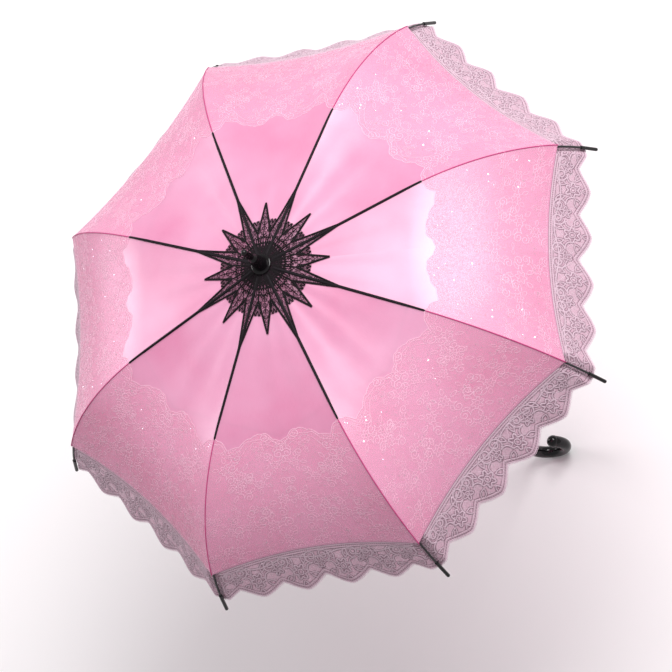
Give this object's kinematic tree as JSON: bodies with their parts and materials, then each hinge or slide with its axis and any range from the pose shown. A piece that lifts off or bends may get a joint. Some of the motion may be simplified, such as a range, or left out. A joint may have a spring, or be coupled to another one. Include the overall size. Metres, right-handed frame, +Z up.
{
  "type": "folding stick parasol",
  "caption": "Open stick parasol with a domed satin canopy, scalloped lace edge, black lace star and a crook handle; slides shut.",
  "frame": {"origin": "on the stick's axis at the hand grip, where the straight handle meets the crook", "axes": "+Z up the stick to the ferrule; +X the way the crook hooks; +Y to the left of the crook"},
  "size_m": [0.826, 0.826, 1.0205],
  "materials": {
    "satin": "pink satin with a soft sheen",
    "lace_white": "pale pinkish white lace, matt",
    "lace_black": "black lace, matt",
    "handle_black": "high gloss",
    "ferrule_black": "gloss",
    "tip_black": "gloss",
    "runner_black": "satin moulded nylon",
    "shaft_paint": "gloss black paint on steel tube",
    "rib_paint": "black paint on folded steel",
    "rod_black": "black resin-coated fibre rod",
    "wire_steel": "drawn wire"
  },
  "bodies": {
    "stick": {"shaft": "shaft_paint", "handle": "handle_black", "handle_collar": "handle_black", "ferrule": "ferrule_black", "crown_cap": "ferrule_black", "top_notch": "runner_black", "notch_wire": "wire_steel", "lace_rosette": "lace_black"},
    "runner": {"runner": "runner_black", "runner_wire": "wire_steel"},
    "top_spring": {"top_spring": "wire_steel"},
    "bottom_spring": {"bottom_spring": "wire_steel"},
    "rib_inner_1": {"rib_inner_1": "rib_paint"},
    "rib_outer_1": {"rib_outer_1": "rod_black", "rib_tip_1": "tip_black", "canopy_panel_1": "satin", "lace_trim_1": "lace_white"},
    "stretcher_1": {"stretcher_1": "rib_paint"},
    "rib_inner_2": {"rib_inner_2": "rib_paint"},
    "rib_outer_2": {"rib_outer_2": "rod_black", "rib_tip_2": "tip_black", "canopy_panel_2": "satin", "lace_trim_2": "lace_white"},
    "stretcher_2": {"stretcher_2": "rib_paint"},
    "rib_inner_3": {"rib_inner_3": "rib_paint"},
    "rib_outer_3": {"rib_outer_3": "rod_black", "rib_tip_3": "tip_black", "canopy_panel_3": "satin", "lace_trim_3": "lace_white"},
    "stretcher_3": {"stretcher_3": "rib_paint"},
    "rib_inner_4": {"rib_inner_4": "rib_paint"},
    "rib_outer_4": {"rib_outer_4": "rod_black", "rib_tip_4": "tip_black", "canopy_panel_4": "satin", "lace_trim_4": "lace_white"},
    "stretcher_4": {"stretcher_4": "rib_paint"},
    "rib_inner_5": {"rib_inner_5": "rib_paint"},
    "rib_outer_5": {"rib_outer_5": "rod_black", "rib_tip_5": "tip_black", "canopy_panel_5": "satin", "lace_trim_5": "lace_white"},
    "stretcher_5": {"stretcher_5": "rib_paint"},
    "rib_inner_6": {"rib_inner_6": "rib_paint"},
    "rib_outer_6": {"rib_outer_6": "rod_black", "rib_tip_6": "tip_black", "canopy_panel_6": "satin", "lace_trim_6": "lace_white"},
    "stretcher_6": {"stretcher_6": "rib_paint"},
    "rib_inner_7": {"rib_inner_7": "rib_paint"},
    "rib_outer_7": {"rib_outer_7": "rod_black", "rib_tip_7": "tip_black", "canopy_panel_7": "satin", "lace_trim_7": "lace_white"},
    "stretcher_7": {"stretcher_7": "rib_paint"},
    "rib_inner_8": {"rib_inner_8": "rib_paint"},
    "rib_outer_8": {"rib_outer_8": "rod_black", "rib_tip_8": "tip_black", "canopy_panel_8": "satin", "lace_trim_8": "lace_white"},
    "stretcher_8": {"stretcher_8": "rib_paint"}
  },
  "joints": [
    {"name": "runner_slide", "type": "slide", "parent": "stick", "child": "runner", "axis": [0, 0, 1], "range_m": [-0.29004, 0]},
    {"name": "top_spring_press", "type": "slide", "parent": "stick", "child": "top_spring", "axis": [-1, 0, 0], "range_m": [0, 0.0024], "stiffness_N_per_m": 900},
    {"name": "bottom_spring_press", "type": "slide", "parent": "stick", "child": "bottom_spring", "axis": [-1, 0, 0], "range_m": [0, 0.0024], "stiffness_N_per_m": 900},
    {"name": "rib_fold_1", "type": "hinge", "parent": "stick", "child": "rib_inner_1", "pos_m": [0.01016, 0.00421, 0.9], "axis": [-0.3827, 0.9239, 0], "range_deg": [-0.01, 80.01]},
    {"name": "rib_flex_1", "type": "hinge", "parent": "rib_inner_1", "child": "rib_outer_1", "pos_m": [0.20325, 0.08419, 0.87063], "axis": [-0.3827, 0.9239, 0], "range_deg": [-35.01, 0.01], "deforming": ["canopy_panel_1", "lace_trim_1"]},
    {"name": "stretcher_fold_1", "type": "hinge", "parent": "rib_inner_1", "child": "stretcher_1", "pos_m": [0.20248, 0.08387, 0.86469], "axis": [-0.3827, 0.9239, 0], "range_deg": [-137.94, 0.01]},
    {"name": "rib_fold_2", "type": "hinge", "parent": "stick", "child": "rib_inner_2", "pos_m": [0.00421, 0.01016, 0.9], "axis": [-0.9239, 0.3827, 0], "range_deg": [-0.01, 80.01]},
    {"name": "rib_flex_2", "type": "hinge", "parent": "rib_inner_2", "child": "rib_outer_2", "pos_m": [0.08419, 0.20325, 0.87063], "axis": [-0.9239, 0.3827, 0], "range_deg": [-35.01, 0.01], "deforming": ["canopy_panel_2", "lace_trim_2"]},
    {"name": "stretcher_fold_2", "type": "hinge", "parent": "rib_inner_2", "child": "stretcher_2", "pos_m": [0.08387, 0.20248, 0.86469], "axis": [-0.9239, 0.3827, 0], "range_deg": [-137.94, 0.01]},
    {"name": "rib_fold_3", "type": "hinge", "parent": "stick", "child": "rib_inner_3", "pos_m": [-0.00421, 0.01016, 0.9], "axis": [-0.9239, -0.3827, 0], "range_deg": [-0.01, 80.01]},
    {"name": "rib_flex_3", "type": "hinge", "parent": "rib_inner_3", "child": "rib_outer_3", "pos_m": [-0.08419, 0.20325, 0.87063], "axis": [-0.9239, -0.3827, 0], "range_deg": [-35.01, 0.01], "deforming": ["canopy_panel_3", "lace_trim_3"]},
    {"name": "stretcher_fold_3", "type": "hinge", "parent": "rib_inner_3", "child": "stretcher_3", "pos_m": [-0.08387, 0.20248, 0.86469], "axis": [-0.9239, -0.3827, 0], "range_deg": [-137.94, 0.01]},
    {"name": "rib_fold_4", "type": "hinge", "parent": "stick", "child": "rib_inner_4", "pos_m": [-0.01016, 0.00421, 0.9], "axis": [-0.3827, -0.9239, 0], "range_deg": [-0.01, 80.01]},
    {"name": "rib_flex_4", "type": "hinge", "parent": "rib_inner_4", "child": "rib_outer_4", "pos_m": [-0.20325, 0.08419, 0.87063], "axis": [-0.3827, -0.9239, 0], "range_deg": [-35.01, 0.01], "deforming": ["canopy_panel_4", "lace_trim_4"]},
    {"name": "stretcher_fold_4", "type": "hinge", "parent": "rib_inner_4", "child": "stretcher_4", "pos_m": [-0.20248, 0.08387, 0.86469], "axis": [-0.3827, -0.9239, 0], "range_deg": [-137.94, 0.01]},
    {"name": "rib_fold_5", "type": "hinge", "parent": "stick", "child": "rib_inner_5", "pos_m": [-0.01016, -0.00421, 0.9], "axis": [0.3827, -0.9239, 0], "range_deg": [-0.01, 80.01]},
    {"name": "rib_flex_5", "type": "hinge", "parent": "rib_inner_5", "child": "rib_outer_5", "pos_m": [-0.20325, -0.08419, 0.87063], "axis": [0.3827, -0.9239, 0], "range_deg": [-35.01, 0.01], "deforming": ["canopy_panel_5", "lace_trim_5"]},
    {"name": "stretcher_fold_5", "type": "hinge", "parent": "rib_inner_5", "child": "stretcher_5", "pos_m": [-0.20248, -0.08387, 0.86469], "axis": [0.3827, -0.9239, 0], "range_deg": [-137.94, 0.01]},
    {"name": "rib_fold_6", "type": "hinge", "parent": "stick", "child": "rib_inner_6", "pos_m": [-0.00421, -0.01016, 0.9], "axis": [0.9239, -0.3827, 0], "range_deg": [-0.01, 80.01]},
    {"name": "rib_flex_6", "type": "hinge", "parent": "rib_inner_6", "child": "rib_outer_6", "pos_m": [-0.08419, -0.20325, 0.87063], "axis": [0.9239, -0.3827, 0], "range_deg": [-35.01, 0.01], "deforming": ["canopy_panel_6", "lace_trim_6"]},
    {"name": "stretcher_fold_6", "type": "hinge", "parent": "rib_inner_6", "child": "stretcher_6", "pos_m": [-0.08387, -0.20248, 0.86469], "axis": [0.9239, -0.3827, 0], "range_deg": [-137.94, 0.01]},
    {"name": "rib_fold_7", "type": "hinge", "parent": "stick", "child": "rib_inner_7", "pos_m": [0.00421, -0.01016, 0.9], "axis": [0.9239, 0.3827, 0], "range_deg": [-0.01, 80.01]},
    {"name": "rib_flex_7", "type": "hinge", "parent": "rib_inner_7", "child": "rib_outer_7", "pos_m": [0.08419, -0.20325, 0.87063], "axis": [0.9239, 0.3827, 0], "range_deg": [-35.01, 0.01], "deforming": ["canopy_panel_7", "lace_trim_7"]},
    {"name": "stretcher_fold_7", "type": "hinge", "parent": "rib_inner_7", "child": "stretcher_7", "pos_m": [0.08387, -0.20248, 0.86469], "axis": [0.9239, 0.3827, 0], "range_deg": [-137.94, 0.01]},
    {"name": "rib_fold_8", "type": "hinge", "parent": "stick", "child": "rib_inner_8", "pos_m": [0.01016, -0.00421, 0.9], "axis": [0.3827, 0.9239, 0], "range_deg": [-0.01, 80.01]},
    {"name": "rib_flex_8", "type": "hinge", "parent": "rib_inner_8", "child": "rib_outer_8", "pos_m": [0.20325, -0.08419, 0.87063], "axis": [0.3827, 0.9239, 0], "range_deg": [-35.01, 0.01], "deforming": ["canopy_panel_8", "lace_trim_8"]},
    {"name": "stretcher_fold_8", "type": "hinge", "parent": "rib_inner_8", "child": "stretcher_8", "pos_m": [0.20248, -0.08387, 0.86469], "axis": [0.3827, 0.9239, 0], "range_deg": [-137.94, 0.01]}
  ],
  "couplings": [
    {"joint": "rib_fold_1", "follows": "runner_slide", "rad_per_m": -4.814},
    {"joint": "rib_flex_1", "follows": "runner_slide", "rad_per_m": 2.1061},
    {"joint": "stretcher_fold_1", "follows": "runner_slide", "rad_per_m": 8.3002},
    {"joint": "rib_fold_2", "follows": "runner_slide", "rad_per_m": -4.814},
    {"joint": "rib_flex_2", "follows": "runner_slide", "rad_per_m": 2.1061},
    {"joint": "stretcher_fold_2", "follows": "runner_slide", "rad_per_m": 8.3002},
    {"joint": "rib_fold_3", "follows": "runner_slide", "rad_per_m": -4.814},
    {"joint": "rib_flex_3", "follows": "runner_slide", "rad_per_m": 2.1061},
    {"joint": "stretcher_fold_3", "follows": "runner_slide", "rad_per_m": 8.3002},
    {"joint": "rib_fold_4", "follows": "runner_slide", "rad_per_m": -4.814},
    {"joint": "rib_flex_4", "follows": "runner_slide", "rad_per_m": 2.1061},
    {"joint": "stretcher_fold_4", "follows": "runner_slide", "rad_per_m": 8.3002},
    {"joint": "rib_fold_5", "follows": "runner_slide", "rad_per_m": -4.814},
    {"joint": "rib_flex_5", "follows": "runner_slide", "rad_per_m": 2.1061},
    {"joint": "stretcher_fold_5", "follows": "runner_slide", "rad_per_m": 8.3002},
    {"joint": "rib_fold_6", "follows": "runner_slide", "rad_per_m": -4.814},
    {"joint": "rib_flex_6", "follows": "runner_slide", "rad_per_m": 2.1061},
    {"joint": "stretcher_fold_6", "follows": "runner_slide", "rad_per_m": 8.3002},
    {"joint": "rib_fold_7", "follows": "runner_slide", "rad_per_m": -4.814},
    {"joint": "rib_flex_7", "follows": "runner_slide", "rad_per_m": 2.1061},
    {"joint": "stretcher_fold_7", "follows": "runner_slide", "rad_per_m": 8.3002},
    {"joint": "rib_fold_8", "follows": "runner_slide", "rad_per_m": -4.814},
    {"joint": "rib_flex_8", "follows": "runner_slide", "rad_per_m": 2.1061},
    {"joint": "stretcher_fold_8", "follows": "runner_slide", "rad_per_m": 8.3002}
  ]
}
